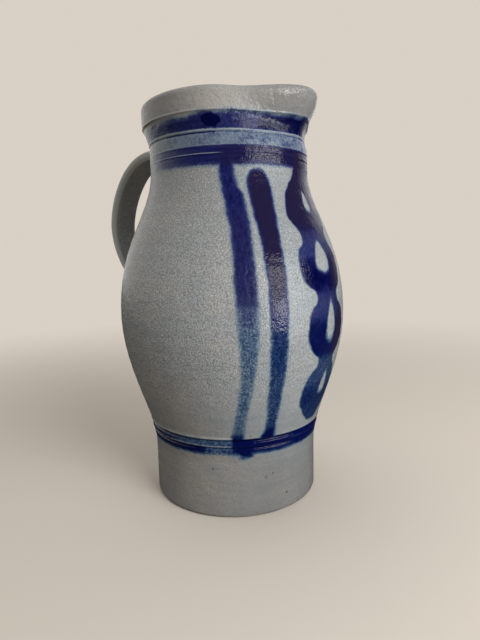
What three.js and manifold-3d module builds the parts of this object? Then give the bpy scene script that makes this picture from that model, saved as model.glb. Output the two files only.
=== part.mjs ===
// A salt-glazed stoneware jug: a wheel-thrown vessel with a lip pulled out of its rim, and a pulled
// strap handle that is luted to the collar and to the belly with two pads of clay slip.
// Millimetres, +Z up, origin at the centre of the base, the lip towards +X and the handle towards -X.

import * as THREE from "three";
import { mergeVertices } from "three/addons/utils/BufferGeometryUtils.js";
import Module from "manifold-3d";

const wasm = await Module();
wasm.setup();

const degrees = THREE.MathUtils.degToRad;

// The thrown vessel: radii and heights of its main turns, from the base up
const BASE_EDGE = 1.8;
const FOOT_RADIUS = 48.2;
const FOOT_HEIGHT = 31;
const FOOT_FLARE = 0.8;
const FOOT_FLARE_HEIGHT = 3.8;
const WAIST_RADIUS = 50.6;
const WAIST_HEIGHT = 45;
const BELLY_RADIUS = 65.1;
const BELLY_HEIGHT = 106;
const NECK_RADIUS = 44.7;
const NECK_HEIGHT = 186;
const COLLAR_RADIUS = 46;
const COLLAR_HEIGHT = 203.7;
const RIM_RADIUS = 48.8;
const RIM_HEIGHT = 220.2;
const WALL = 5.4;
const FLOOR = 8;
const FLOOR_CORNER = 13;
const TURNS = 60;

// How far each wall runs on in its own direction before it bends to the next turn
const WAIST_LEAN = 5.8;
const WAIST_RUN = 18;
const BELLY_RUN_DOWN = 22;
const BELLY_RUN_UP = 42;
const NECK_RUN = 23;
const THROAT_RUN = 7;

// Turned lines: grooves cut into the foot and the neck, a ridge and a small step on the collar
const FOOT_GROOVES = [
  { radius: 49.6, z: 38.7, depth: 0.9, half: 1.2 },
  { radius: 50.3, z: 43.2, depth: 1.0, half: 1.4 },
];
const NECK_GROOVES = [
  { radius: NECK_RADIUS, z: 188.2, depth: 0.5, half: 0.8 },
  { radius: NECK_RADIUS, z: 192.2, depth: 0.5, half: 0.8 },
];
const COLLAR_RIDGE = { radius: NECK_RADIUS + 0.4, z: 199.7, depth: -0.9, half: 1.0 };
const RIM_STEP = { radius: RIM_RADIUS - 1.4, z: 207.6, height: 0.6, half: 0.6 };
const RIM_BAND_HEIGHT = 211.6;

// The pulled lip: how far it reaches out and rises, and how the rim gives way at both cheeks
const LIP_ROOT = 201;
const LIP_REACH = 7;
const LIP_SPREAD = degrees(20);
const LIP_RISE = 1.5;
const LIP_RISE_SPREAD = degrees(24);
const CHEEK_ANGLE = degrees(43);
const CHEEK_SPREAD = degrees(16);
const CHEEK_PINCH = 2.2;
const CHEEK_DIP = 0.9;

// The strap handle: its section, and the loop that its centre line makes from the collar to the belly
const STRAP_WIDTH = 19.6;
const STRAP_THICKNESS = 6.8;
const STRAP_EDGE = 2.6;
const STRAP_CROWN = 0.5;
const STRAP_TAPER = 0.88;
const STRAP_STEPS = 30;
const STRAP_EDGE_STEPS = 4;
const HANDLE_TOP = 198.8;
const HANDLE_LIFT = 14.5;
const HANDLE_LEAD = 31;
const HANDLE_REACH = 96;
const HANDLE_TURN_HEIGHT = 158.3;
const HANDLE_TURN_UP = 18.6;
const HANDLE_TURN_DOWN = 12.8;
const HANDLE_FOOT = 115.9;
const HANDLE_FOOT_LEAD = 25;
const HANDLE_FOOT_LIFT = 7;
const HANDLE_ROOT_DEPTH = 3.5;

// The slip pads that lute the handle on, and the clearance between neighbours
const PAD_SPREAD = 1.3;
const PAD_THICKNESS = 2.2;
const CLEARANCE = 0.3;

const point = (radius, z) => new THREE.Vector2(radius, z);

const curve = (from, control1, control2, to, steps) =>
  new THREE.CubicBezierCurve(from, control1, control2, to).getPoints(steps);

const arc = (centre, radius, from, to, steps) =>
  new THREE.EllipseCurve(centre.x, centre.y, radius, radius, from, to, to < from).getPoints(steps);

// A line cut into the wall, or raised from it where the depth is negative, going up
const groove = ({ radius, z, depth, half }) => [
  point(radius, z - half),
  point(radius - depth, z),
  point(radius, z + half),
];

// Outside of the vessel, from the edge of the base up to the rim
function outerOutline() {
  const baseEdge = arc(point(FOOT_RADIUS - BASE_EDGE, BASE_EDGE), BASE_EDGE, -Math.PI / 2, 0, 3);
  const footFlare = [
    point(FOOT_RADIUS, FOOT_HEIGHT),
    point(FOOT_RADIUS + FOOT_FLARE, FOOT_HEIGHT + FOOT_FLARE_HEIGHT),
  ];
  const lowerBelly = curve(
    point(WAIST_RADIUS, WAIST_HEIGHT),
    point(WAIST_RADIUS + WAIST_LEAN, WAIST_HEIGHT + WAIST_RUN),
    point(BELLY_RADIUS, BELLY_HEIGHT - BELLY_RUN_DOWN),
    point(BELLY_RADIUS, BELLY_HEIGHT),
    7,
  );
  const shoulder = curve(
    point(BELLY_RADIUS, BELLY_HEIGHT),
    point(BELLY_RADIUS, BELLY_HEIGHT + BELLY_RUN_UP),
    point(NECK_RADIUS, NECK_HEIGHT - NECK_RUN),
    point(NECK_RADIUS, NECK_HEIGHT),
    9,
  ).slice(1);
  const collar = [
    point(COLLAR_RADIUS, COLLAR_HEIGHT),
    point(RIM_STEP.radius - RIM_STEP.height / 2, RIM_STEP.z - RIM_STEP.half),
    point(RIM_STEP.radius + RIM_STEP.height / 2, RIM_STEP.z + RIM_STEP.half),
    point(RIM_RADIUS, RIM_BAND_HEIGHT),
  ];
  return [
    ...baseEdge,
    ...footFlare,
    ...FOOT_GROOVES.flatMap(groove),
    ...lowerBelly,
    ...shoulder,
    ...NECK_GROOVES.flatMap(groove),
    ...groove(COLLAR_RIDGE),
    ...collar,
  ];
}

// Over the rim and down the inside of the vessel to the middle of its floor
function innerOutline() {
  const rimRound = arc(point(RIM_RADIUS - WALL / 2, RIM_HEIGHT - WALL / 2), WALL / 2, 0, Math.PI, 6);
  const throat = curve(
    point(RIM_RADIUS - WALL, RIM_HEIGHT - WALL),
    point(RIM_RADIUS - WALL, RIM_HEIGHT - WALL - THROAT_RUN),
    point(NECK_RADIUS - WALL, NECK_HEIGHT + 2 * THROAT_RUN),
    point(NECK_RADIUS - WALL, NECK_HEIGHT),
    4,
  );
  const shoulder = curve(
    point(NECK_RADIUS - WALL, NECK_HEIGHT),
    point(NECK_RADIUS - WALL, NECK_HEIGHT - NECK_RUN),
    point(BELLY_RADIUS - WALL, BELLY_HEIGHT + BELLY_RUN_UP),
    point(BELLY_RADIUS - WALL, BELLY_HEIGHT),
    8,
  ).slice(1);
  const lowerBelly = curve(
    point(BELLY_RADIUS - WALL, BELLY_HEIGHT),
    point(BELLY_RADIUS - WALL, BELLY_HEIGHT - BELLY_RUN_DOWN),
    point(FOOT_RADIUS - WALL, WAIST_HEIGHT + WAIST_RUN),
    point(FOOT_RADIUS - WALL, FOOT_HEIGHT),
    6,
  ).slice(1);
  const corner = curve(
    point(FOOT_RADIUS - WALL, FLOOR + FLOOR_CORNER),
    point(FOOT_RADIUS - WALL, FLOOR),
    point(FOOT_RADIUS - WALL, FLOOR),
    point(FOOT_RADIUS - WALL - FLOOR_CORNER, FLOOR),
    4,
  );
  return [...rimRound, ...throat.slice(1), ...shoulder, ...lowerBelly, ...corner, point(0, FLOOR)];
}

// A turned solid about +Z, from an outline that starts and ends on the axis
const turned = (outline) => new THREE.LatheGeometry(outline, TURNS).rotateX(Math.PI / 2);

const bell = (offset, spread) => Math.exp(-((offset / spread) ** 2));

// Pulls the lip out of a turned vessel: the wall above the ridge leans out and up towards +X
function pullLip(geometry) {
  const places = geometry.getAttribute("position");
  for (let i = 0; i < places.count; i++) {
    const place = new THREE.Vector3().fromBufferAttribute(places, i);
    const pull = THREE.MathUtils.smoothstep(place.z, LIP_ROOT, RIM_HEIGHT);
    if (pull === 0) continue;
    const angle = Math.atan2(place.y, place.x);
    const cheek = bell(Math.abs(angle) - CHEEK_ANGLE, CHEEK_SPREAD);
    const reach = pull * (LIP_REACH * bell(angle, LIP_SPREAD) - CHEEK_PINCH * cheek);
    const rise = pull ** 2 * (LIP_RISE * bell(angle, LIP_RISE_SPREAD) - CHEEK_DIP * cheek);
    places.setXYZ(i, place.x + reach * Math.cos(angle), place.y + reach * Math.sin(angle), place.z + rise);
  }
  return geometry;
}

// A solid for joining and cutting, from merged positions alone
function solidOf(geometry) {
  const bare = new THREE.BufferGeometry().setAttribute("position", geometry.getAttribute("position"));
  bare.setIndex(geometry.index);
  const merged = mergeVertices(bare, 1e-3);
  return new wasm.Manifold(
    new wasm.Mesh({
      numProp: 3,
      vertProperties: merged.getAttribute("position").array,
      triVerts: new Uint32Array(merged.index.array),
    }),
  );
}

function geometryOf(solid) {
  const mesh = solid.getMesh();
  const geometry = new THREE.BufferGeometry();
  geometry.setAttribute("position", new THREE.BufferAttribute(mesh.vertProperties, 3));
  geometry.setIndex(new THREE.BufferAttribute(mesh.triVerts, 1));
  geometry.computeVertexNormals();
  return geometry;
}

// The vessel's outer form filled solid and grown by a clearance, to trim what is luted to it
function trimmer(growth) {
  const wall = outerOutline().map(({ x, y }) => point(x + growth, y));
  return solidOf(turned([point(0, 0), ...wall, point(0, RIM_HEIGHT)]));
}

// Strap section with its width along x: flat towards the vessel, crowned outside, with thumbed edges
function strapSection(scale) {
  const half = (STRAP_WIDTH / 2) * scale;
  const thick = (STRAP_THICKNESS / 2) * scale;
  const edge = STRAP_EDGE * scale;
  const crown = half * STRAP_CROWN;
  const section = new THREE.Shape();
  section.moveTo(-half + edge, -thick);
  section.lineTo(half - edge, -thick);
  section.quadraticCurveTo(half, -thick, half, -thick + edge);
  section.bezierCurveTo(half, thick, crown, thick, 0, thick);
  section.bezierCurveTo(-crown, thick, -half, thick, -half, -thick + edge);
  section.quadraticCurveTo(-half, -thick, -half + edge, -thick);
  return section;
}

// Centre line of the strap, in two bends that meet where the loop reaches furthest out
function strapLoop() {
  const at = (reach, z) => new THREE.Vector3(-reach, 0, z);
  const collarRoot = NECK_RADIUS - HANDLE_ROOT_DEPTH;
  const bellyRoot = BELLY_RADIUS - HANDLE_ROOT_DEPTH;
  const loop = new THREE.CurvePath();
  loop.add(
    new THREE.CubicBezierCurve3(
      at(collarRoot, HANDLE_TOP),
      at(NECK_RADIUS + HANDLE_LEAD, HANDLE_TOP + HANDLE_LIFT),
      at(HANDLE_REACH, HANDLE_TURN_HEIGHT + HANDLE_TURN_UP),
      at(HANDLE_REACH, HANDLE_TURN_HEIGHT),
    ),
  );
  loop.add(
    new THREE.CubicBezierCurve3(
      at(HANDLE_REACH, HANDLE_TURN_HEIGHT),
      at(HANDLE_REACH, HANDLE_TURN_HEIGHT - HANDLE_TURN_DOWN),
      at(bellyRoot + HANDLE_FOOT_LEAD, HANDLE_FOOT + HANDLE_FOOT_LIFT),
      at(bellyRoot, HANDLE_FOOT),
    ),
  );
  return loop;
}

// The strap swept along its loop and narrowed towards its foot
function strap(scale) {
  const geometry = new THREE.ExtrudeGeometry(strapSection(scale), {
    steps: STRAP_STEPS,
    curveSegments: STRAP_EDGE_STEPS,
    bevelEnabled: false,
    extrudePath: strapLoop(),
  });
  const places = geometry.getAttribute("position");
  for (let i = 0; i < places.count; i++) {
    const down = THREE.MathUtils.smoothstep(HANDLE_TOP - places.getZ(i), 0, HANDLE_TOP - HANDLE_FOOT);
    places.setY(i, places.getY(i) * THREE.MathUtils.lerp(1, STRAP_TAPER, down));
  }
  return solidOf(geometry);
}

const stoneware = new THREE.MeshStandardMaterial({ color: 0x8c8c88, roughness: 0.45, metalness: 0 });
const strapClay = new THREE.MeshStandardMaterial({ color: 0x80807c, roughness: 0.5, metalness: 0 });
const slipClay = new THREE.MeshStandardMaterial({ color: 0x85847f, roughness: 0.55, metalness: 0 });

function named(name, geometry, material) {
  const mesh = new THREE.Mesh(geometry, material);
  mesh.name = name;
  return mesh;
}

// The vessel is one thrown wall: floor, foot, belly, neck and collar, with the lip pulled while wet
const vessel = pullLip(turned([point(0, 0), ...outerOutline(), ...innerOutline()]));

// Each pad is the strap's widened end between two grown copies of the vessel's outer form
const pads = strap(PAD_SPREAD)
  .intersect(trimmer(CLEARANCE + PAD_THICKNESS))
  .subtract(trimmer(CLEARANCE))
  .decompose()
  .sort((a, b) => b.boundingBox().max[2] - a.boundingBox().max[2]);
const handle = strap(1).subtract(trimmer(2 * CLEARANCE + PAD_THICKNESS));

const jug = new THREE.Group();
jug.add(
  named("thrown_vessel", vessel, stoneware),
  named("strap_handle", geometryOf(handle), strapClay),
  named("upper_slip_pad", geometryOf(pads[0]), slipClay),
  named("lower_slip_pad", geometryOf(pads[1]), slipClay),
);

export default jug;
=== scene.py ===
import math

import bmesh
import bpy
from mathutils import Color, Matrix, Vector


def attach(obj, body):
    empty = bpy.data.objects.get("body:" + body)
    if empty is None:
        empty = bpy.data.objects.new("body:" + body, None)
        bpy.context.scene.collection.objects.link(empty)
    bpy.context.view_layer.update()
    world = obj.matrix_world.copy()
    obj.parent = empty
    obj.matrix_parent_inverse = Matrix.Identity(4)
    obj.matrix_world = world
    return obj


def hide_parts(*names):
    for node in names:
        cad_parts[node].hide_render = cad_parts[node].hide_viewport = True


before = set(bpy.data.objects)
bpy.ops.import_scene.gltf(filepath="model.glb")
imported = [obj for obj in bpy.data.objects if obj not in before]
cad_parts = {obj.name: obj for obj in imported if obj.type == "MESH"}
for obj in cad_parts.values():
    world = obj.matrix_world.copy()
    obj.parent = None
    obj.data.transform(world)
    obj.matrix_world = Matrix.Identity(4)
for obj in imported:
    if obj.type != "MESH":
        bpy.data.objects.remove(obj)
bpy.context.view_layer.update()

bpy.ops.object.select_all(action="DESELECT")


# The thrown vessel is one wall of grey stoneware clay, raised on the wheel from floor to rim.
# Lines are turned into the soft wall and the lip is pulled from the wet rim with two fingers.
# It is painted with cobalt before its one firing, in which salt thrown into the kiln glazes it.
base_edge = 0.0018
foot_radius = 0.0482
foot_height = 0.0310
foot_draw_in = 0.0002
foot_lead_height = 0.0120
foot_draw_height = 0.0220
waist_radius = 0.0506
waist_height = 0.0450
waist_set_in = 0.0012
waist_lead_height = 0.0330
waist_draw_height = 0.0380
waist_lean = 0.0058
waist_run = 0.0180
belly_radius = 0.0651
belly_height = 0.1060
belly_run_down = 0.0220
belly_run_up = 0.0420
neck_radius = 0.0447
neck_height = 0.1860
neck_run = 0.0230
neck_lead_height = 0.1900
neck_draw_height = 0.1950
collar_root = 0.1995
collar_lean = 0.0012
collar_run = 0.0030
collar_top_height = 0.2079
collar_set_in = 0.0007
rim_radius = 0.0485
rim_height = 0.2202
rim_band_height = 0.2085
inner_lead_height = 0.2080
inner_draw_height = 0.2000
wall_thickness = 0.0054
floor_thickness = 0.0080
floor_corner = 0.0130
turning_steps = 224
seam_gap = 1e-6


def cubic_shares(t):
    """How much each of a cubic curve's four points counts, as t goes along it from 0 to 1."""
    u = 1 - t
    return u * u * u, 3 * u * u * t, 3 * u * t * t, t * t * t


def bend(start, lead, draw, end, steps):
    """Points of a cubic curve, as radius and height, without its start."""
    corners = (start, lead, draw, end)
    points = []
    for i in range(1, steps + 1):
        shares = cubic_shares(i / steps)
        points.append([sum(s * c[axis] for s, c in zip(shares, corners)) for axis in (0, 1)])
    return points


def round_off(centre, radius, start, end, steps):
    """Points of an arc between two angles in degrees, without its start."""
    angles = [math.radians(start + (end - start) * i / steps) for i in range(1, steps + 1)]
    return [[centre[0] + radius * math.cos(a), centre[1] + radius * math.sin(a)] for a in angles]


def ease(value, low, high):
    """0 up to low, 1 from high on, and smooth between them."""
    t = min(max((value - low) / (high - low), 0.0), 1.0)
    return t * t * (3 - 2 * t)


def swell(offset, half_width):
    """A rounded bump that is 1 in its middle and 0 from half its width on."""
    return 0.5 + 0.5 * math.cos(math.pi * min(abs(offset) / half_width, 1.0))


# Height of each turned line, how far the wall stands proud there, and half of the line's width
turned_lines = (
    (0.0391, -0.00080, 0.0011),
    (0.0406, 0.00020, 0.0008),
    (0.0433, -0.00105, 0.0013),
    (0.0452, 0.00035, 0.0008),
    (0.1877, -0.00006, 0.0008),
    (0.1887, 0.00009, 0.0006),
    (0.1915, -0.00006, 0.0008),
    (0.1925, 0.00006, 0.0006),
    (0.1986, -0.00030, 0.0009),
    (0.1997, 0.00025, 0.0008),
    (0.2083, 0.00025, 0.0008),
)
rim_step_height = 0.2077
rim_step_half = 0.0006
rim_step = 0.0003


def turned_relief(height):
    """How far the turned lines and the step under the rim stand proud of the smooth wall at a height."""
    lines = sum(proud * swell(height - middle, half) for middle, proud, half in turned_lines)
    return lines + rim_step * ease(height, rim_step_height - rim_step_half, rim_step_height + rim_step_half)


foot_top = (foot_radius, foot_height)
waist = (waist_radius, waist_height)
belly = (belly_radius, belly_height)
neck_base = (neck_radius, neck_height)
collar_base = (neck_radius, collar_root)
rim_side = (rim_radius - rim_step, rim_height - wall_thickness / 2)
collar_top = (rim_side[0] - collar_set_in, collar_top_height)
smooth_wall = [
    *bend(
        (foot_radius, base_edge), (foot_radius, foot_lead_height),
        (foot_radius - foot_draw_in, foot_draw_height), foot_top, steps=14,
    ),
    *bend(
        foot_top, (foot_radius, waist_lead_height),
        (waist_radius - waist_set_in, waist_draw_height), waist, steps=52,
    ),
    *bend(
        waist, (waist_radius + waist_lean, waist_height + waist_run),
        (belly_radius, belly_height - belly_run_down), belly, steps=40,
    ),
    *bend(
        belly, (belly_radius, belly_height + belly_run_up),
        (neck_radius, neck_height - neck_run), neck_base, steps=44,
    ),
    *bend(
        neck_base, (neck_radius, neck_lead_height),
        (neck_radius, neck_draw_height), collar_base, steps=52,
    ),
    *bend(
        collar_base, (neck_radius + collar_lean, collar_root + collar_run),
        (collar_top[0] - collar_lean, collar_top_height - collar_run), collar_top, steps=30,
    ),
    *bend(
        collar_top, (rim_side[0], rim_band_height),
        (rim_side[0], rim_band_height + collar_run), rim_side, steps=18,
    ),
]
outer_wall = [[radius + turned_relief(height), height] for radius, height in smooth_wall]


def wall_radius(height):
    """Outside radius of the wall at a height, without its turned lines."""
    for (r0, z0), (r1, z1) in zip(smooth_wall, smooth_wall[1:]):
        if z0 <= height <= z1:
            return r0 + (r1 - r0) * (height - z0) / (z1 - z0)
    return foot_radius


rim_middle = rim_radius - wall_thickness / 2
rim_round = round_off((rim_middle, rim_side[1]), wall_thickness / 2, 0, 180, steps=12)
inner_rim = rim_round[-1]
inner_neck = (neck_radius - wall_thickness, neck_height)
inner_belly = (belly_radius - wall_thickness, belly_height)
inner_foot = (foot_radius - wall_thickness, foot_height)
corner_top = (inner_foot[0], floor_thickness + floor_corner)
corner_point = (inner_foot[0], floor_thickness)
corner_foot = (inner_foot[0] - floor_corner, floor_thickness)
inner_wall = [
    *bend(
        inner_rim, (inner_rim[0], inner_lead_height),
        (inner_neck[0], inner_draw_height), inner_neck, steps=14,
    ),
    *bend(
        inner_neck, (inner_neck[0], neck_height - neck_run),
        (inner_belly[0], belly_height + belly_run_up), inner_belly, steps=26,
    ),
    *bend(
        inner_belly, (inner_belly[0], belly_height - belly_run_down),
        (inner_foot[0], waist_height + waist_run), inner_foot, steps=24,
    ),
    corner_top,
    *bend(corner_top, corner_point, corner_point, corner_foot, steps=10),
    (inner_foot[0] / 3, floor_thickness),
    (0.0, floor_thickness),
]
base_flat = foot_radius - base_edge
outline = [
    (base_flat / 3, 0.0),
    (base_flat * 2 / 3, 0.0),
    (base_flat, 0.0),
    *round_off((base_flat, base_edge), base_edge, -90, 0, steps=6),
    *outer_wall,
    *rim_round,
    *inner_wall,
]

bpy.ops.mesh.primitive_plane_add(size=base_edge, location=(0, 0, 0))
thrown_body = bpy.context.object
thrown_body.name = "thrown_body"
bpy.ops.object.mode_set(mode="EDIT")
bpy.ops.mesh.select_all(action="SELECT")
bpy.ops.mesh.merge(type="CENTER")
drawn_to = Vector((0, 0, 0))
for radius, height in outline:
    corner = Vector((radius, 0, height))
    bpy.ops.mesh.extrude_vertices_move(TRANSFORM_OT_translate={"value": corner - drawn_to})
    drawn_to = corner
bpy.ops.mesh.select_all(action="SELECT")
bpy.ops.mesh.spin(steps=turning_steps, angle=math.tau, center=(0, 0, 0), axis=(0, 0, 1))
bpy.ops.mesh.select_all(action="SELECT")
bpy.ops.mesh.remove_doubles(threshold=seam_gap)
bpy.ops.mesh.normals_make_consistent(inside=False)
bpy.ops.object.mode_set(mode="OBJECT")

lip_root = 0.2010
lip_reach = 0.0063
lip_spread = math.radians(20)
lip_rise = 0.0015
lip_rise_spread = math.radians(24)
cheek_angle = math.radians(43)
cheek_spread = math.radians(16)
cheek_pinch = 0.0022
cheek_dip = 0.0005
throat_angle = math.radians(26)
throat_spread = math.radians(22)
throat_height = 0.2060
throat_half = 0.0125
throat_pinch = 0.0034
inner_throat_share = 0.5
throwing_pitch = 0.0074
outer_throwing_mark = 0.00010
inner_throwing_mark = 0.00045
marks_start = (0.047, 0.060)
marks_end = (0.172, 0.186)
facing_edge = 0.3


def bell(offset, spread):
    """A bump with long soft ends that is 1 in its middle."""
    return math.exp(-((offset / spread) ** 2))


def worked_by_hand(place, outside):
    """Where a point of the turned wall ends up, with the fingers' throwing marks and the pulled lip."""
    radius = math.hypot(place.x, place.y)
    angle = math.atan2(place.y, place.x)
    mark = outer_throwing_mark if outside else inner_throwing_mark
    thrown = ease(place.z, *marks_start) * (1 - ease(place.z, *marks_end))
    radius -= mark * thrown * (0.5 + 0.5 * math.sin(math.tau * place.z / throwing_pitch + angle))
    pull = ease(place.z, lip_root, rim_height)
    cheek = bell(abs(angle) - cheek_angle, cheek_spread)
    radius += pull * (lip_reach * bell(angle, lip_spread) - cheek_pinch * cheek)
    throat = bell(abs(angle) - throat_angle, throat_spread) * swell(place.z - throat_height, throat_half)
    radius -= throat_pinch * throat * (1.0 if outside else inner_throat_share)
    rise = pull * pull * (lip_rise * bell(angle, lip_rise_spread) - cheek_dip * cheek)
    return Vector((radius * math.cos(angle), radius * math.sin(angle), place.z + rise))


outside_share = thrown_body.data.attributes.new("outside", "FLOAT", "POINT")
facings = []
for vertex in thrown_body.data.vertices:
    outwards = Vector((vertex.co.x, vertex.co.y, 0)).normalized()
    facings.append(vertex.normal.dot(outwards))
for vertex, facing in zip(thrown_body.data.vertices, facings):
    outside_share.data[vertex.index].value = ease(facing, -facing_edge, facing_edge)
    vertex.co = worked_by_hand(vertex.co, facing > 0)
bpy.ops.object.shade_smooth()


class Field:
    """A value that varies over a surface: one socket of a material, whose operators add Math nodes."""

    def __init__(self, tree, socket=None):
        self.tree = tree
        self.socket = socket

    def node(self, kind, settings=None, sockets=None, output=0):
        """Any node, with its settings first and then the values or links of its sockets."""
        made = self.tree.nodes.new(kind)
        for name, value in (settings or {}).items():
            if name == "curve":
                line = made.mapping.curves[0]
                for stop in value[1:-1]:
                    line.points.new(*stop)
                line.points[0].location = value[0]
                line.points[-1].location = value[-1]
                made.mapping.update()
            else:
                setattr(made, name, value)
        for name, value in (sockets or {}).items():
            if isinstance(value, Field):
                self.tree.links.new(value.socket, made.inputs[name])
            else:
                made.inputs[name].default_value = value
        return Field(self.tree, made.outputs[output] if len(made.outputs) else None)

    def maths(self, operation, first, second=0.0):
        return self.node("ShaderNodeMath", {"operation": operation}, {0: first, 1: second})

    def __add__(self, other):
        return self.maths("ADD", self, other)

    def __radd__(self, other):
        return self.maths("ADD", other, self)

    def __sub__(self, other):
        return self.maths("SUBTRACT", self, other)

    def __rsub__(self, other):
        return self.maths("SUBTRACT", other, self)

    def __mul__(self, other):
        return self.maths("MULTIPLY", self, other)

    def __rmul__(self, other):
        return self.maths("MULTIPLY", other, self)

    def __truediv__(self, other):
        return self.maths("DIVIDE", self, other)

    def __abs__(self):
        return self.maths("ABSOLUTE", self)

    def root(self):
        return self.maths("SQRT", self)

    def sine(self):
        return self.maths("SINE", self)

    def over(self, other):
        return self.maths("MAXIMUM", self, other)

    def under(self, other):
        return self.maths("MINIMUM", self, other)

    def rise(self, low, high):
        """0 up to low, 1 from high on, and smooth between them."""
        sockets = {"Value": self, "From Min": low, "From Max": high}
        return self.node("ShaderNodeMapRange", {"interpolation_type": "SMOOTHSTEP"}, sockets)

    def fall(self, low, high):
        """1 up to low, 0 from high on, and smooth between them."""
        return 1 - self.rise(low, high)

    def within(self, low, high, soft):
        """1 between low and high and 0 outside them, with soft ends."""
        return self.rise(low - soft, low + soft) * self.fall(high - soft, high + soft)

    def follow(self, stops):
        """A smooth line through stops of this value and of the one that it gives."""
        low, high = stops[0][0], stops[-1][0]
        least = min(y for x, y in stops)
        span = max(y for x, y in stops) - least
        share = self.node("ShaderNodeMapRange", {}, {"Value": self, "From Min": low, "From Max": high})
        line = [((x - low) / (high - low), (y - least) / span) for x, y in stops]
        return self.node("ShaderNodeFloatCurve", {"curve": line}, {"Value": share}) * span + least

    def blend(self, first, second):
        """A mix of two colours, this value being the share of the second."""
        sockets = {0: self, 6: first, 7: second}
        return self.node("ShaderNodeMix", {"data_type": "RGBA"}, sockets, output=2)


def most(first, *others):
    """The greatest of several values at each place."""
    for other in others:
        first = first.over(other)
    return first


def colour(code):
    """A colour as it looks on screen, written like 8c8b86, for a shader."""
    shares = [int(code[i:i + 2], 16) / 255 for i in (0, 2, 4)]
    return (*Color(shares).from_srgb_to_scene_linear(), 1.0)


# Sizes of the clay's grains in millimetres, and the heights between which its skin is coarse and how softly
millimetres = 1000
peel_size = 0.9
speckle_size = 0.6
cloud_size = 38
coarse_heights = (68, 196, 18)


class Surface:
    """A material's places in millimetres and degrees from the lip, and the grains of fired clay."""

    def __init__(self, material):
        material.use_nodes = True
        material.node_tree.nodes.clear()
        self.field = Field(material.node_tree)
        self.place = self.field.node("ShaderNodeTexCoord", output="Object")
        metres = [self.field.node("ShaderNodeSeparateXYZ", {}, {0: self.place}, axis) for axis in "XYZ"]
        self.forward, self.sideways, self.height = [axis * millimetres for axis in metres]
        radius = (self.forward * self.forward + self.sideways * self.sideways).root()
        self.degree = radius * math.radians(1)
        self.angle = self.field.maths("ARCTAN2", self.sideways, self.forward) * math.degrees(1)
        self.off_lip = abs(self.angle)
        self.peel = self.pebbles(peel_size)
        self.speckle = self.grain(speckle_size, detail=1)
        self.cloud = self.grain(cloud_size, detail=3)
        self.coarse = self.height.within(*coarse_heights) * 0.72 + 0.28

    def grain(self, size, detail=2, flatten=1.0):
        """Cloudy grain of that size in millimetres, from -1 to 1, drawn out level by flatten."""
        scale = (millimetres / size, millimetres / size, millimetres * flatten / size)
        place = self.field.node("ShaderNodeMapping", {}, {"Vector": self.place, "Scale": scale})
        sockets = {"Vector": place, "Scale": 1.0, "Detail": detail}
        return self.field.node("ShaderNodeTexNoise", {}, sockets) * 2 - 1

    def pebbles(self, size):
        """Distance from the middle of the nearest pebble of that size in millimetres."""
        sockets = {"Vector": self.place, "Scale": millimetres / size}
        return self.field.node("ShaderNodeTexVoronoi", {}, sockets, "Distance")


cool_grey = colour("a3abb0")
warm_grey = colour("b0aaa2")
# Grey towards which the painted shade on rim and foot is blended
painted_shade_grey = colour("6f7072")
dark_grey = colour("6b6d6c")
pale_grey = colour("d2d5d5")
iron_brown = colour("2a221c")
purple_blue = colour("211b37")
# Pale colour of the crests and the strap's edges: partly thin glaze, partly painted highlight
thin_glaze_and_highlight_clay = colour("c3c5c2")
bare_clay = colour("857c71")
wire_cut_clay = colour("a0968a")

# Cobalt from a thin wash to a dense pool: the loads at which each tone starts and is full,
# its colour on the upper wall and its colour on the lower one
cobalt_tones = (
    (0.0, 0.3, colour("717f90"), colour("687c8e")),
    (0.25, 0.6, colour("384268"), colour("3d5371")),
    (0.5, 0.95, colour("1e2259"), colour("122a57")),
    (0.88, 1.12, colour("010438"), colour("030b43")),
)

# Painted shade on the rim by angle from the lip, and painted shade and light on the wall by height in
# millimetres
rim_painted_shade_by_angle = (
    (-180, 0.3), (-115, 0.55), (-92, 0.52), (-66, 0.08), (-44, 0.2), (-22, 0.55), (60, 0.6), (110, 0.3),
    (180, 0.3),
)
painted_shade_and_light_by_height = (
    (0, -0.15), (38, -0.13), (70, 0.0), (115, 0.03), (150, -0.1), (185, -0.14), (208, 0.0), (222, 0.0),
)

# Where the glaze changes, in millimetres of height or degrees from the lip: from, to and any softness
warm_rim_heights = (204, 214)
warm_foot_heights = (4, 46)
warm_side_angles = (35, 75)
# Heights and angles of the painted shade on rim and foot
painted_rim_shade_heights = (203, 211)
painted_foot_shade_heights = (24, 46)
painted_foot_shade_angles = (-55, 70, 30)
wiped_foot_heights = (28, 44)
lower_wall_heights = (98, 112)
bare_base_heights = (0.3, 1.3)
matt_collar_heights = (196, 200)
wet_lip_heights = (206, 210)
wet_lip_angles = (2, 34, 8)

# Sizes of the glaze's mottle, wiped rings, specks, pits, ripple and grains of cobalt in millimetres
mottle_size = 10
wiped_size = 30
wiped_flatten = 16
speck_spacing = 9
speck_patch = 22
pit_spacing = 3.4
pit_patch = 13
ripple_size = 2.8
cobalt_grain = 1.1
cobalt_fine_grain = 0.7

# The loops that the cutting wire drew under the base: their middle and pitch in millimetres, the size of
# their waver, and how they are squashed
wire_middle = -16
wire_pitch = 2.1
wire_waver_size = 9
wire_squash = 1.6


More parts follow.
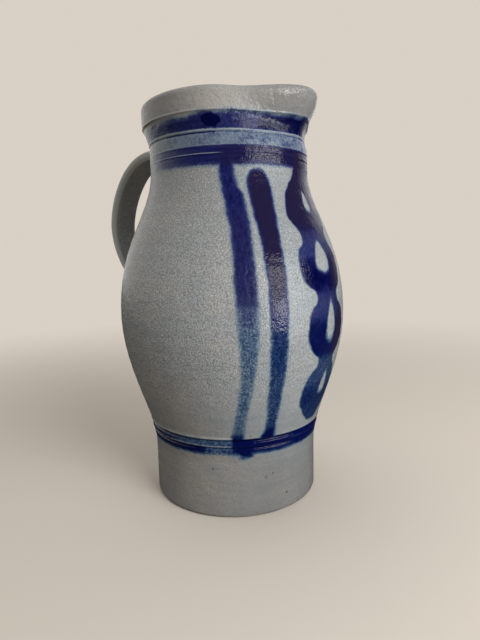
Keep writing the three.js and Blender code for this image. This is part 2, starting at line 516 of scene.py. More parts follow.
def grey_glaze(clay, iron):
    """Colour of the glazed clay: clouded grey with painted shade at rim and foot and painted shade and light
    by height, peppered by its skin and by iron.
    """
    height = clay.height
    mottle = clay.grain(mottle_size)
    warm = height.rise(*warm_rim_heights) * 0.35 + height.fall(*warm_foot_heights) * 0.3
    warm = warm + clay.cloud * 0.6 + mottle * 0.4 + clay.off_lip.rise(*warm_side_angles) * 0.2 + 0.25
    glaze = warm.over(0).under(1).blend(cool_grey, warm_grey)

    # Painted shade: the rim darkened by angle round it, and the foot on the lip's side
    painted_rim_shade = height.rise(*painted_rim_shade_heights) * clay.angle.follow(rim_painted_shade_by_angle)
    painted_foot_shade = height.fall(*painted_foot_shade_heights) * clay.angle.within(*painted_foot_shade_angles) * 0.55
    glaze = painted_rim_shade.over(painted_foot_shade).blend(glaze, painted_shade_grey)

    peppered = (clay.speckle * 0.65 + (0.42 - clay.peel) * 0.5) * clay.coarse
    wiped = clay.grain(wiped_size, flatten=wiped_flatten) * (height.fall(*wiped_foot_heights) * 0.03 + 0.09)
    # The height table adds painted shade at foot, shoulder and neck and painted light at the belly
    shade = peppered + wiped + clay.cloud * 0.1 + mottle * 0.08 + height.follow(painted_shade_and_light_by_height)
    glaze = (shade.fall(-0.35, 0.2) * 0.6).blend(glaze, dark_grey)
    glaze = (shade.rise(0.05, 0.4) * 0.3).blend(glaze, pale_grey)

    specks = clay.pebbles(speck_spacing).fall(0.03, 0.08) * clay.grain(speck_patch).rise(0.14, 0.24)
    pits = clay.pebbles(pit_spacing).fall(0.07, 0.13) * clay.grain(pit_patch).rise(0.05, 0.25)
    return most(specks * 0.8, iron, pits * 0.45).blend(glaze, iron_brown)


def tinted_glaze(clay, glaze, thick, purple, thin_glaze_and_highlight):
    """The glaze over cobalt, from its thin tone to its dense one, with its purple and painted sheen, and its
    pale lines of thin glaze and painted highlight.
    """
    low = clay.height.fall(*lower_wall_heights)
    for start, full, upper_tone, lower_tone in cobalt_tones:
        glaze = thick.rise(start, full).blend(glaze, low.blend(upper_tone, lower_tone))
    glaze = (purple * thick.rise(0.35, 0.8)).blend(glaze, purple_blue)
    return thin_glaze_and_highlight.blend(glaze, thin_glaze_and_highlight_clay)


def wire_cut(clay):
    """The looped lines that the cutting wire left under the base, from 0 to 1."""
    along = clay.forward - wire_middle
    drag = (along * along + clay.sideways * clay.sideways * wire_squash).root()
    return (drag * (math.tau / wire_pitch) + clay.grain(wire_waver_size) * 2).sine().rise(-1, 1)


def salt_glaze(name, paint):
    """Salt-glazed clay with what paint gives: cobalt, its grit, its purple and painted sheen, pale lines of
    thin glaze and painted highlight, and iron.
    """
    material = bpy.data.materials.new(name)
    clay = Surface(material)
    cobalt, grit, purple, thin_glaze_and_highlight, iron = paint(clay)
    grains = clay.grain(cobalt_grain, detail=3) + clay.grain(cobalt_fine_grain) * 0.6
    thick = cobalt + grains * grit * cobalt * (1.1 - cobalt).over(0.03)
    glaze = tinted_glaze(clay, grey_glaze(clay, iron), thick, purple, thin_glaze_and_highlight)
    bare = clay.height.fall(*bare_base_heights)
    wire_mark = wire_cut(clay)
    glaze = bare.blend(glaze, wire_mark.blend(bare_clay, wire_cut_clay))

    matt = clay.height.rise(*matt_collar_heights)
    wet_lip = clay.height.rise(*wet_lip_heights) * clay.off_lip.within(*wet_lip_angles)
    gloss = thick.rise(0.78, 1.05) * (0.16 - matt * 0.12) + wet_lip * 0.17
    roughness = 0.26 - gloss + clay.cloud * 0.05 + clay.speckle * 0.03 + bare * 0.4

    skin = clay.coarse.over(0.5) * (1 - thick.rise(0.5, 0.9) * 0.4)
    ripple = clay.grain(ripple_size, detail=1) * (matt * 0.05 + 0.1)
    relief = (clay.peel * -0.12 + clay.speckle * 0.03) * skin + ripple + bare * wire_mark * 0.15
    raised = {"Strength": 1.0, "Distance": 1 / millimetres, "Height": relief}
    bump = clay.field.node("ShaderNodeBump", {}, raised)
    finish = {"Base Color": glaze, "Roughness": roughness, "Normal": bump, "Specular IOR Level": 0.3}
    shader = clay.field.node("ShaderNodeBsdfPrincipled", {}, finish)
    clay.field.node("ShaderNodeOutputMaterial", {}, {"Surface": shader})
    return material


# Sizes in millimetres of the brush's edge, strokes, streaks and drift, and the drift's wander in degrees
edge_size = 7
edge_fine_size = 1.8
stroke_size = 1.5
stroke_flatten = 0.15
streak_size = 34
streak_flatten = 24
drift_size = 11
drift_angle = 9
drift_fine_size = 3.5
drift_fine_angle = 4


class Brush:
    """How unevenly a loaded brush paints: its ragged edge, fine strokes, streaks and drift round the wall."""

    def __init__(self, clay):
        self.edge = clay.grain(edge_size) * 0.9 + clay.grain(edge_fine_size) * 0.4
        self.stroke = clay.grain(stroke_size, flatten=stroke_flatten)
        self.streak = clay.grain(streak_size, detail=3, flatten=streak_flatten)
        wander = clay.grain(drift_size) * drift_angle + clay.grain(drift_fine_size) * drift_fine_angle
        self.drift = clay.angle + wander


def stripe(clay, middle, half, head):
    """Millimetres outside a brushed stripe that comes down the wall at an angle from the lip."""
    across = (clay.off_lip - clay.height.follow(middle)) * clay.degree
    beyond = (clay.height - head).over(0)
    return (across * across + beyond * beyond).root() - clay.height.follow(half)


# The outer stripe by height in millimetres: its angle from the lip, half its width and its load of cobalt,
# with the heights of its head, foot and purple and how far its edge is soft
outer_stripe_head = 185.5
outer_stripe_foot = (33.5, 38)
outer_stripe_soft = (-2.3, 1.5)
outer_purple_heights = (112, 160, 12)
outer_stripe_angle = (
    (34, 52.0), (51, 50.0), (68, 47.2), (89, 45.4), (118, 45.9), (151, 47.2), (161, 48.6), (168, 49.8),
    (173, 52.3), (184, 54.2),
)
outer_stripe_half = (
    (34, 3.4), (44, 3.8), (51, 3.2), (68, 3.3), (89, 4.4), (118, 5.6), (151, 5.2), (161, 5.3), (168, 5.3),
    (173, 4.2), (184, 4.0),
)
outer_stripe_load = (
    (34, 0.9), (38, 1.0), (44, 1.05), (48, 0.7), (54, 0.52), (60, 0.5), (105, 0.52), (113.5, 0.56),
    (117.5, 0.8), (132, 0.88), (160, 0.94), (184, 0.98),
)


def paint_outer_stripe(clay, brush):
    """The outer stripe at each side of the lip: its brushed shape, its cobalt and its purple."""
    outside = stripe(clay, outer_stripe_angle, outer_stripe_half, outer_stripe_head)
    shape = (outside + brush.edge).fall(*outer_stripe_soft)
    load = clay.height.follow(outer_stripe_load) + brush.stroke * 0.2
    cobalt = shape * load * (clay.height + brush.edge * 0.8).rise(*outer_stripe_foot)
    return shape, cobalt, cobalt * clay.height.within(*outer_purple_heights) * 0.3


# The inner stripe by height in millimetres: its angle from the lip, half its width and its load of cobalt,
# with the heights of its head, foot and purple and how far its edge and its purple are soft
inner_stripe_head = 175.7
inner_stripe_foot = (41, 43)
inner_stripe_soft = (-1.7, 1.2)
inner_purple_heights = (110, 126)
inner_purple_soft = (-2.4, 0.0)
inner_stripe_angle = (
    (42, 33.4), (46, 32.8), (51, 31.6), (66, 31.6), (108, 31.7), (132, 32.1), (151, 32.8), (168, 33.6),
    (176, 34.3),
)
inner_stripe_half = (
    (42, 4.6), (46, 4.2), (51, 3.2), (66, 3.7), (85, 4.6), (108, 4.9), (132, 5.2), (151, 5.6), (168, 6.4),
    (176, 5.75),
)
inner_stripe_load = (
    (42, 1.15), (48, 1.12), (53, 0.82), (70, 0.78), (90, 0.88), (112, 0.95), (128, 1.0), (182, 1.0),
)


def paint_inner_stripe(clay, brush):
    """The inner stripe at each side of the lip: its brushed shape, its cobalt and its purple."""
    outside = stripe(clay, inner_stripe_angle, inner_stripe_half, inner_stripe_head)
    shape = (outside + brush.edge).fall(*inner_stripe_soft)
    load = clay.height.follow(inner_stripe_load) + brush.stroke * 0.15
    purple = (outside + brush.edge * 0.6).fall(*inner_purple_soft) * clay.height.rise(*inner_purple_heights)
    return shape, shape * load * clay.height.rise(*inner_stripe_foot), purple * 0.9


# The chain by height in millimetres: its middle's angle from the lip, half its width in degrees and its load
chain_middle = ((48, 1.5), (66, 1.0), (100, -0.4), (135, -2.2), (163, -0.5), (174, 3), (181, 7), (186, 8))
chain_half = (
    (47, 2.0), (50.4, 7.2), (56.8, 13), (64.7, 16.2), (72, 15.1), (78.5, 11.2), (84, 7.8), (87, 10.2),
    (92, 14.5), (99, 16.1), (106.7, 15.3), (112.5, 12.6), (117.6, 9.0), (122.5, 13.2), (129, 16.6),
    (135, 17.4), (141, 16), (147.5, 12.3), (151, 13.4), (155, 17), (160, 18.8), (166, 18.2), (174, 15.4),
    (181, 12.6), (186, 12.3),
)
chain_load = (
    (47, 0.85), (56, 0.86), (64, 0.94), (72, 0.76), (80, 0.72), (86, 0.9), (93, 1.08), (100, 1.05),
    (108, 0.82), (114, 0.72), (120, 0.92), (127, 1.04), (136, 0.96), (143, 0.74), (149, 0.78), (155, 1.0),
    (186, 1.05),
)

# Height, angle, half height in millimetres and half width in degrees of the four gaps in the chain,
# and how fast and how far a gap narrows towards its top
chain_eyes = ((166.2, 1.3, 5.4, 2.6), (137.6, -2.3, 7.6, 5.2), (104.5, 0.3, 9.8, 3.4), (70.0, 2.8, 5.8, 2.7))
eye_taper = 0.45
eye_least = 0.3

# Where the chain starts and ends and where it turns purple, where its right side has a painted purple sheen,
# how far its edge is soft, and its mottle's size
chain_heights = (48.5, 192, 1.2)
chain_soft = (-1.4, 0.9)
chain_mottle_size = 4
purple_top_heights = (140, 158)
side_sheen_angles = (1, 8)
side_sheen_heights = (70, 96)


def paint_chain(clay, brush):
    """The chain down the wall under the lip, with its gaps: its cobalt, and its purple with a painted sheen
    on its right side.
    """
    height = clay.height
    outside = (abs(clay.angle - height.follow(chain_middle)) - height.follow(chain_half)) * clay.degree
    for eye_height, eye_angle, half_height, half_width in chain_eyes:
        up = (height - eye_height) / half_height
        across = (clay.angle - eye_angle) / (1 - up * eye_taper).over(eye_least) / half_width
        outside = outside.over((1 - (across * across + up * up).root()) * half_width)
    shape = (outside + brush.edge * 0.8).fall(*chain_soft) * height.within(*chain_heights)
    mottle = clay.grain(chain_mottle_size)
    cobalt = shape * (height.follow(chain_load) + brush.stroke * 0.1 + mottle * 0.12 + 0.04)
    # Painted sheen: purple on the chain's right side, where a grazing reflection falls
    side_sheen = clay.angle.rise(*side_sheen_angles) * height.rise(*side_sheen_heights)
    return cobalt, cobalt * height.rise(*purple_top_heights).over(side_sheen) * 0.85


# Load of cobalt by angle from the lip: of the collar, of the groove under it, whose dark line is partly
# pooled cobalt and partly painted shade under the collar, of the neck and of the foot's two lines
collar_load = (
    (-180, 0.2), (-138, 0.25), (-118, 0.42), (-99, 0.52), (-92, 0.8), (-72, 0.88), (-57, 0.84), (-53, 0.84),
    (-46, 0.9), (-41, 0.94), (-34, 1.0), (-23, 1.16), (14, 1.16), (40, 0.9), (110, 0.4), (180, 0.2),
)
groove_pool_and_shade_load = (
    (-180, 0.3), (-100, 0.4), (-92, 0.95), (-64, 0.95), (-58, 0.55), (20, 0.6), (180, 0.3),
)
neck_load = (
    (-180, 0.05), (-124, 0.08), (-112, 0.3), (-96, 0.7), (-78, 0.9), (-55, 0.96), (10, 1.0), (60, 0.85),
    (110, 0.3), (180, 0.05),
)
upper_foot_load = (
    (-180, 0.6), (-125, 0.95), (-100, 1.05), (-90, 0.66), (-60, 0.6), (-55, 0.9), (-48, 1.2), (20, 1.25),
    (60, 0.9), (180, 0.6),
)
lower_foot_load = (
    (-180, 0.6), (-125, 1.05), (-104, 1.3), (-76, 1.25), (-70, 0.66), (-59, 0.62), (-54, 1.0), (-48, 1.2),
    (20, 1.25), (60, 0.9), (180, 0.6),
)


# Heights in millimetres over which each band begins and ends, and between which the groove's line, partly
# painted shade, and the wash lie, with their softness, and the angles between which the neck's band is purple
collar_start = (199.8, 200.7)
collar_end = (205.6, 209.8)
groove_pool_and_shade_heights = (198.3, 199.1, 0.45)
wash_heights = (192.5, 200, 0.8)
neck_start = (181.4, 185.2)
neck_end = (191.8, 193.4)
neck_purple_angles = (-58, 40, 6)
foot_band_start = (34.2, 37.8)
foot_band_end = (44.6, 45.4)
foot_line_change = (40.2, 41.2)
foot_streak_heights = (46, 48)

# How ragged the collar's band is, how far and over which angles it drops, and the sizes of the wash's marks
ragged_size = 9
ragged_depth = 1.8
side_drop = 1.9
side_drop_angles = (62, 84)
wash_size = 6
wash_fine_size = 2


def paint_bands(clay, brush):
    """The bands on collar, neck and foot, the groove's dark line, partly painted shade, and the wash between
    collar and neck: their cobalt and purple.
    """
    height = clay.height
    dropped = clay.off_lip.rise(*side_drop_angles) * side_drop
    ragged = height + clay.grain(ragged_size) * ragged_depth + brush.edge * 0.6 + dropped
    collar = (height + brush.edge * 0.3).rise(*collar_start) * ragged.fall(*collar_end)
    collar = collar * brush.drift.follow(collar_load)
    # Painted shade: the dark line in the groove under the collar, partly pooled cobalt
    groove_pool_and_shade = height.within(*groove_pool_and_shade_heights) * brush.drift.follow(groove_pool_and_shade_load)
    on_neck = brush.drift.follow(neck_load)
    neck = (height + brush.edge).rise(*neck_start) * (height + brush.edge * 0.4).fall(*neck_end) * on_neck
    washed = clay.grain(wash_size) * 0.35 + clay.grain(wash_fine_size) * 0.2 + 0.36
    wash = height.within(*wash_heights) * on_neck * washed
    upper_line = brush.drift.follow(upper_foot_load)
    lower_line = brush.drift.follow(lower_foot_load)
    on_foot = lower_line + (upper_line - lower_line) * height.rise(*foot_line_change)
    foot = (height + brush.edge * 0.6).rise(*foot_band_start) * on_foot
    foot = foot * (height + brush.edge * 0.2).fall(*foot_band_end)
    bands = most(collar, neck, foot)
    bands = bands + brush.streak * (height.fall(*foot_streak_heights) * 0.25 + 0.3) * bands.under(1)
    return most(bands, groove_pool_and_shade, wash), neck * clay.angle.within(*neck_purple_angles) * 0.5


pool_edge_size = 3
pool_soft = (0.5, 1.15)


def pool(clay, angle, height, half_width, half_height):
    """1 in the middle of a round pool of colour and 0 outside it, at each side of the lip."""
    across = (clay.off_lip - angle) * clay.degree / half_width
    up = (clay.height - height) / half_height
    return ((across * across + up * up).root() + clay.grain(pool_edge_size) * 0.3).fall(*pool_soft)


# Height and half width in millimetres of each turned crest, a pale line partly of thin glaze and partly
# painted highlight, its shares of pale colour away from the lip and under it, and the angle from the lip at
# which it changes
crests_of_thin_glaze_and_highlight = (
    (45.5, 0.8, 0.85, 0.05, 54),
    (40.7, 0.4, 0.4, 0.0, 54),
    (188.9, 0.3, 0.4, 0.0, 58),
    (192.7, 0.3, 0.12, 0.0, 58),
    (199.7, 0.35, 0.4, 0.15, 40),
    (208.5, 0.6, 0.45, 0.05, 80),
)
crest_core = 0.3
crest_change_half = 4

# Height in millimetres, angle from the lip, size in millimetres and depth of tone of the larger iron specks
iron_specks = (
    (27.5, -67, 0.9, 0.4),
    (23.0, -28, 0.6, 0.8),
    (9.7, -17.4, 0.8, 0.9),
    (211.5, -37.6, 0.5, 0.6),
    (127.7, -21.6, 0.6, 0.8),
    (31.3, -52.8, 0.6, 0.4),
    (21.6, -33, 1.1, 0.35),
)
speck_core = 0.4


def crest_of_thin_glaze_and_highlight(clay, height, half, share, lip_share, change):
    """One turned crest as a pale line, partly thin glaze and partly painted highlight, and how strong it is
    round the wall.
    """
    line = abs(clay.height - height).fall(half * crest_core, half)
    away = clay.off_lip.rise(change - crest_change_half, change + crest_change_half)
    return line * (away * (share - lip_share) + lip_share)


def iron_speck(clay, height, angle, size, tone):
    """One round speck of iron that bled through the glaze."""
    across = (clay.angle - angle) * clay.degree
    up = clay.height - height
    return (across * across + up * up).root().fall(size * speck_core, size) * tone


# Where the cobalt is grainy, in millimetres of height and degrees from the lip, and the size of the patches
# that break up the crests' pale lines
grainy_wall_heights = (52, 108, 6)
grainy_foot_heights = (46, 49)
grainy_foot_angles = (56, 98, 3)
grainy_collar_heights = (199, 201)
grainy_collar_angles = (34, 56, 3)
crest_breakup_size = 5


def paint_vessel(clay):
    """Cobalt on the vessel: bands on collar, neck and foot, stripes beside the lip and a chain under it."""
    brush = Brush(clay)
    outer_shape, outer_cobalt, outer_purple = paint_outer_stripe(clay, brush)
    inner_shape, inner_cobalt, inner_purple = paint_inner_stripe(clay, brush)
    chain_cobalt, chain_purple_and_sheen = paint_chain(clay, brush)
    band_cobalt, band_purple = paint_bands(clay, brush)
    drip = pool(clay, angle=46, height=38.4, half_width=5.4, half_height=6.0) * 1.15
    dab = pool(clay, angle=62.5, height=204.0, half_width=6.8, half_height=4.3) * 1.25
    cobalt = most(outer_cobalt, inner_cobalt, chain_cobalt, band_cobalt, drip, dab)
    purple = most(inner_purple, chain_purple_and_sheen, band_purple, outer_purple)

    grainy_wall = clay.height.within(*grainy_wall_heights)
    grainy_foot = clay.height.fall(*grainy_foot_heights) * clay.off_lip.within(*grainy_foot_angles)
    grainy_collar = clay.height.rise(*grainy_collar_heights) * clay.off_lip.within(*grainy_collar_angles)
    grit = most(grainy_wall, grainy_foot, grainy_collar) * 1.2 + 0.8
    # Painted highlight: the crests' pale lines, partly thin glaze, broken into patches
    crest_breakup = clay.grain(crest_breakup_size).rise(-0.6, 0.0) * (1 - outer_shape.over(inner_shape).rise(0.4, 0.8))
    thin_glaze_and_highlight = most(*[crest_of_thin_glaze_and_highlight(clay, *row) for row in crests_of_thin_glaze_and_highlight]) * crest_breakup
    iron = most(*[iron_speck(clay, *row) for row in iron_specks])
    outside = clay.field.node("ShaderNodeAttribute", {"attribute_name": "outside"}, {}, "Fac")
    return (cobalt * outside).over(0), grit, purple, thin_glaze_and_highlight * outside, iron * outside


thrown_body.data.materials.append(salt_glaze("painted_salt_glaze", paint_vessel))
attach(thrown_body, "root")
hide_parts("thrown_vessel")
bpy.ops.object.select_all(action="DESELECT")


# The strap handle is pulled from a lump of the same clay between wet fingers, which leaves it
# flat, round-edged and a little fluted, and it is bent into a loop while it is soft.
strap_width = 0.0196
strap_thickness = 0.0068
strap_edge = 0.0016
strap_crown = 0.0005
strap_flute = 0.0006
strap_flutes = 3
strap_taper = 0.88
edge_steps = 6
face_steps = 8
loop_steps = 40
handle_top = 0.1988
handle_foot = 0.1159
handle_reach = 0.0959
handle_turn_height = 0.1583
handle_root_depth = 0.0035
handle_top_run = 0.0310
handle_top_rise = 0.0145
handle_back_rise = 0.0186
handle_back_drop = 0.0128
handle_foot_run = 0.0250
handle_foot_rise = 0.0070
top_root = (neck_radius - handle_root_depth, handle_top)
handle_back = (handle_reach, handle_turn_height)
foot_root = (belly_radius - handle_root_depth, handle_foot)
upper_loop = bend(
    top_root, (neck_radius + handle_top_run, handle_top + handle_top_rise),
    (handle_reach, handle_turn_height + handle_back_rise), handle_back, loop_steps,
)
lower_loop = bend(
    handle_back, (handle_reach, handle_turn_height - handle_back_drop),
    (foot_root[0] + handle_foot_run, handle_foot + handle_foot_rise), foot_root, loop_steps,
)
loop = upper_loop + lower_loop


def strap_section():
    """Points round the strap, as width across and thickness outwards, with round edges and fluted faces."""
    flat_half = strap_width / 2 - strap_edge
    thick_half = strap_thickness / 2
    points = []
    for side, up, start in ((1, 1, 0), (-1, 1, 90), (-1, -1, 180), (1, -1, 270)):
        centre = (side * flat_half, up * (thick_half - strap_edge))
        points += round_off(centre, strap_edge, start, start + 90, edge_steps)
        if side == up:
            shares = [1 - 2 * i / face_steps for i in range(1, face_steps)]
            points += [[side * flat_half * share, up * thick_half] for share in shares]
    section = []
    for across, out in points:
        share = across / (strap_width / 2)
        crown = strap_crown * share * share
        flute = strap_flute * (0.5 - 0.5 * math.cos(share * math.pi * strap_flutes))
        section.append((across, out - math.copysign(crown + flute, out)))
    return section


def loop_frame(index):
    """Middle and outward side of the strap at a station of its loop."""
    ahead = loop[min(index + 1, len(loop) - 1)]
    behind = loop[max(index - 1, 0)]
    along = Vector((behind[0] - ahead[0], 0, ahead[1] - behind[1])).normalized()
    return Vector((-loop[index][0], 0, loop[index][1])), Vector((along.z, 0, -along.x))


def strap_ring(index, swell_by=1.0):
    """The strap's section at a station of its loop, tapered towards its foot and swollen by a share."""
    middle, outwards = loop_frame(index)
    taper = 1 + (strap_taper - 1) * ease(handle_top - middle.z, 0, handle_top - handle_foot)
    across_axis = Vector((0, 1, 0))
    return [
        middle + across_axis * across * taper * swell_by + outwards * out * swell_by
        for across, out in strap_section()
    ]


def draw_rings(name, rings):
    """A closed skin drawn from ring to ring, by extruding a circle and putting its points in place."""
    bpy.ops.mesh.primitive_circle_add(vertices=len(rings[0]), radius=strap_width)
    piece = bpy.context.object
    piece.name = name
    bpy.ops.object.mode_set(mode="EDIT")
    mesh = bmesh.from_edit_mesh(piece.data)
    order = mesh.verts.layers.int.new("order")
    for vertex in mesh.verts:
        vertex[order] = vertex.index
    for number, ring in enumerate(rings):
        if number:
            bpy.ops.mesh.extrude_edges_move()
        mesh = bmesh.from_edit_mesh(piece.data)
        order = mesh.verts.layers.int["order"]
        for vertex in mesh.verts:
            if vertex.select:
                vertex.co = ring[vertex[order]]
    bpy.ops.mesh.select_all(action="DESELECT")
    bpy.ops.mesh.select_non_manifold()
    bpy.ops.mesh.fill_holes(sides=0)
    bpy.ops.mesh.select_all(action="SELECT")
    bpy.ops.mesh.normals_make_consistent(inside=False)
    bpy.ops.object.mode_set(mode="OBJECT")
    piece.data.attributes.remove(piece.data.attributes["order"])
    bpy.ops.object.shade_smooth()
    return piece


def clear_of_wall(index):
    """How far the strap's middle stands out from the wall at a station of its loop."""
    return loop[index][0] - wall_radius(loop[index][1])


hidden_root = 0.0012
free_stations = [i for i in range(len(loop)) if clear_of_wall(i) > hidden_root]
pulled_strap = draw_rings("pulled_strap", [strap_ring(i) for i in free_stations])

# Where the smear of cobalt ends, the size of its mottle and how far out the edges are paled, partly thin
# glaze and partly painted light, in millimetres
smear_forward = (-64, -50)
smear_heights = (184, 196)
smear_size = 7
edge_thin_glaze_and_light_sides = (7.4, 8.6)
even_grit = 1.0
no_iron = 0.0


def paint_handle(clay):
    """A smear of cobalt that ran from the collar onto the top of the strap, and the strap's pale edges,
    partly thin glaze and partly painted light.
    """
    near_joint = clay.forward.rise(*smear_forward) * clay.height.rise(*smear_heights)
    cobalt = near_joint * (clay.grain(smear_size) * 0.35 + 0.6)
    # Painted light: the strap's narrow sides are paled, partly as thin glaze on its edges
    edge_thin_glaze_and_light = abs(clay.sideways).rise(*edge_thin_glaze_and_light_sides)
    return cobalt.over(0), even_grit, near_joint * 0.5, edge_thin_glaze_and_light, no_iron


pulled_strap.data.materials.append(salt_glaze("handle_salt_glaze", paint_handle))
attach(pulled_strap, "root")
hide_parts("strap_handle")
bpy.ops.object.select_all(action="DESELECT")


# The two joints are clay slip and soft clay worked in with a thumb where the strap meets the wall,
# so each flares from the strap's section out to a feathered edge on the wall.
joint_steps = 12
joint_length = 0.0075
joint_sunk = 0.0003
joint_tuck = 0.97
joint_lead_stations = 3
joint_lead_swell = 1.12
joint_draw_across = 1.08
joint_draw_up = 1.12
joint_stand_off = 0.0004
joint_glaze = salt_glaze("joint_salt_glaze", paint_handle)


def wall_ring(middle_height, across_scale, up_scale, down_scale, outer_is_up, sunk):
    """The strap's section pressed onto the wall, spread sideways, up and down."""
    ring = []
    for across, out in strap_section():
        upwards = out if outer_is_up else -out
        height = middle_height + upwards * (up_scale if upwards > 0 else down_scale)
        radius = wall_radius(height) - sunk
        turn = across * across_scale / radius
        ring.append(Vector((-radius * math.cos(turn), radius * math.sin(turn), height)))
    return ring


def joint(name, station, wall_station, outer_is_up, across_scale, up_scale, down_scale):
    """A flare from the strap at one station to the wall at the height of another."""
    towards_wall = joint_lead_stations if wall_station > station else -joint_lead_stations
    middle_height = loop[wall_station][1]
    start = strap_ring(station, joint_tuck)
    lead = strap_ring(station + towards_wall, joint_lead_swell)
    draw = wall_ring(
        middle_height, joint_draw_across, joint_draw_up, joint_draw_up, outer_is_up, -joint_stand_off,
    )
    end = wall_ring(middle_height, across_scale, up_scale, down_scale, outer_is_up, joint_sunk)
    rings = []
    for step in range(joint_steps + 1):
        shares = cubic_shares(step / joint_steps)
        paths = zip(start, lead, draw, end)
        rings.append([sum((p * s for p, s in zip(path, shares)), Vector()) for path in paths])
    piece = draw_rings(name, rings)
    piece.data.materials.append(joint_glaze)
    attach(piece, "root")
    return piece


joined_stations = [i for i in range(len(loop)) if clear_of_wall(i) > joint_length]
upper_joint = joint(
    "upper_joint", joined_stations[0], free_stations[0], outer_is_up=True,
    across_scale=1.4, up_scale=1.5, down_scale=1.7,
)
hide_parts("upper_slip_pad")
bpy.ops.object.select_all(action="DESELECT")
lower_joint = joint(
    "lower_joint", joined_stations[-1], free_stations[-1], outer_is_up=False,
    across_scale=1.35, up_scale=1.6, down_scale=2.3,
)
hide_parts("lower_slip_pad")
bpy.ops.object.select_all(action="DESELECT")


# The floor is a plain pale sheet under the jug, and is no part of it. It takes the jug's shadow and fades
# into the backdrop, and it is darker in the light that it throws back and in the glaze's reflections.
floor_side = 8.0
fade_start = 0.12
fade_end = 0.75
sheet_seen = colour("d9d0c5")
sheet_lit = colour("8a8278")
sheet_mirrored = colour("3d3935")
backdrop_colour = colour("e4dace")
backdrop_strength = 0.9
bpy.ops.mesh.primitive_plane_add(size=floor_side, location=(0, 0, 0))
floor = bpy.context.object
floor.name = "floor"
floor_finish = bpy.data.materials.new("pale_floor")
floor_finish.use_nodes = True
floor_finish.node_tree.nodes.clear()
sheet = Field(floor_finish.node_tree)
looked_at = sheet.node("ShaderNodeLightPath", output="Is Camera Ray")
in_glaze = sheet.node("ShaderNodeLightPath", output="Is Glossy Ray")
sheet_colour = looked_at.blend(in_glaze.blend(sheet_lit, sheet_mirrored), sheet_seen)
sheet_shader = sheet.node("ShaderNodeBsdfDiffuse", {}, {"Color": sheet_colour})
spot = sheet.node("ShaderNodeTexCoord", output="Object")
reach = sheet.node("ShaderNodeVectorMath", {"operation": "LENGTH"}, {0: spot}, "Value")
far_sockets = {"Color": backdrop_colour, "Strength": backdrop_strength}
far_shader = sheet.node("ShaderNodeEmission", {}, far_sockets)
fade = reach.rise(fade_start, fade_end) * looked_at
swept = sheet.node("ShaderNodeMixShader", {}, {0: fade, 1: sheet_shader, 2: far_shader})
sheet.node("ShaderNodeOutputMaterial", {}, {"Surface": swept})
floor.data.materials.append(floor_finish)


# Soft light comes from a window of three panes on the right, one of them seen only in the glaze, and from a
# broad panel above it that the glaze doesn't show. A weak panel behind the lip and the pale room fill in.
camera_azimuth = math.radians(38)


def from_camera_side(degrees_right, distance, height):
    """A place round the jug, by its angle to the right of the camera's side."""
    angle = math.radians(degrees_right) + camera_azimuth
    return Vector((distance * math.sin(angle), -distance * math.cos(angle), height))


def panel(name, place, aim_height, width, tall, watts):
    """An area light that faces the jug's axis at a height."""
    light = bpy.data.lights.new(name, "AREA")
    light.shape = "RECTANGLE"
    light.size = width
    light.size_y = tall
    light.energy = watts
    lamp = bpy.data.objects.new(name, light)
    bpy.context.scene.collection.objects.link(lamp)
    lamp.location = place
    lamp.rotation_euler = (Vector((0, 0, aim_height)) - place).to_track_quat("-Z", "Y").to_euler()
    return lamp


jug_middle = 0.12
sunlit_place = from_camera_side(48, 0.6, 0.09)
lower_place = from_camera_side(51, 0.62, 0.125)
upper_place = from_camera_side(51, 0.62, 0.325)
key_place = from_camera_side(35, 0.731, 0.445)
side_place = from_camera_side(140, 0.7, 0.5)
sunlit_pane = panel("sunlit_pane", sunlit_place, sunlit_place.z, width=0.16, tall=0.12, watts=0.6)
sunlit_pane.visible_diffuse = False
panel("lower_pane", lower_place, lower_place.z, width=0.55, tall=0.17, watts=0.75)
panel("upper_pane", upper_place, upper_place.z, width=0.55, tall=0.12, watts=1.2)
key_panel = panel("key_panel", key_place, jug_middle, width=0.4, tall=0.4, watts=3.85)
key_panel.visible_glossy = False
panel("side_panel", side_place, jug_middle, width=0.5, tall=0.4, watts=0.4)

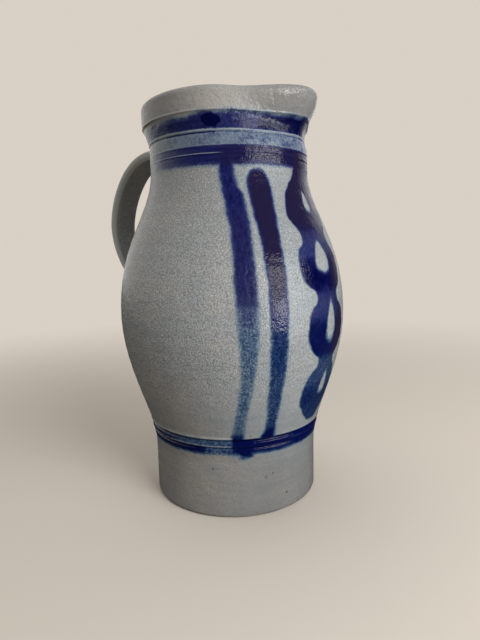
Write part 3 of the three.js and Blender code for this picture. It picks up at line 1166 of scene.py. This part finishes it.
room_colour = colour("f4f2ee")
room_strength = 0.19
overhead_strength = 0.35
far_wall_strength = 0.95
kept_from_glaze = 0.85
overhead_slant = (0.75, 1.0)
far_wall_slant = (0.0, 0.9)
far_wall = tuple(from_camera_side(219, 1.0, 0.1).normalized())
room = bpy.data.worlds.new("pale_room")
room.use_nodes = True
room.node_tree.nodes.clear()
room_light = Field(room.node_tree)
seen = room_light.node("ShaderNodeLightPath", output="Is Camera Ray")
mirrored = room_light.node("ShaderNodeLightPath", output="Is Glossy Ray")
direction = room_light.node("ShaderNodeTexCoord", output="Generated")
facing_wall = {0: direction, 1: far_wall}
away = room_light.node("ShaderNodeVectorMath", {"operation": "DOT_PRODUCT"}, facing_wall, "Value")
upwards = room_light.node("ShaderNodeSeparateXYZ", {}, {0: direction}, "Z")
overhead = upwards.rise(*overhead_slant) * overhead_strength + room_strength
room_level = away.rise(*far_wall_slant) * far_wall_strength + (1 - mirrored * kept_from_glaze) * overhead
strength = room_level * (1 - seen) + seen * backdrop_strength
backdrop = seen.blend(room_colour, backdrop_colour)
sky = room_light.node("ShaderNodeBackground", {}, {"Color": backdrop, "Strength": strength})
room_light.node("ShaderNodeOutputWorld", {}, {"Surface": sky})
bpy.context.scene.world = room


# The camera stands where the photograph was taken from, a little above the belly.
camera_distance = 0.2874
camera_height = 0.1414
camera_yaw = math.radians(0.869)
camera_pitch = math.radians(8.199)
camera_roll = math.radians(-1.275)
focal_pixels = 481
frame_pixels = 640
sensor = 36
nearest_seen = 0.01
lens = bpy.data.cameras.new("camera")
lens.sensor_width = sensor
lens.lens = sensor * focal_pixels / frame_pixels
lens.clip_start = nearest_seen
camera = bpy.data.objects.new("camera", lens)
bpy.context.scene.collection.objects.link(camera)
camera.matrix_world = (
    Matrix.Translation(from_camera_side(0, camera_distance, camera_height))
    @ Matrix.Rotation(camera_azimuth - camera_yaw, 4, "Z")
    @ Matrix.Rotation(math.radians(90) - camera_pitch, 4, "X")
    @ Matrix.Rotation(camera_roll, 4, "Z")
)
bpy.context.scene.camera = camera
bpy.context.scene.view_settings.view_transform = "Standard"
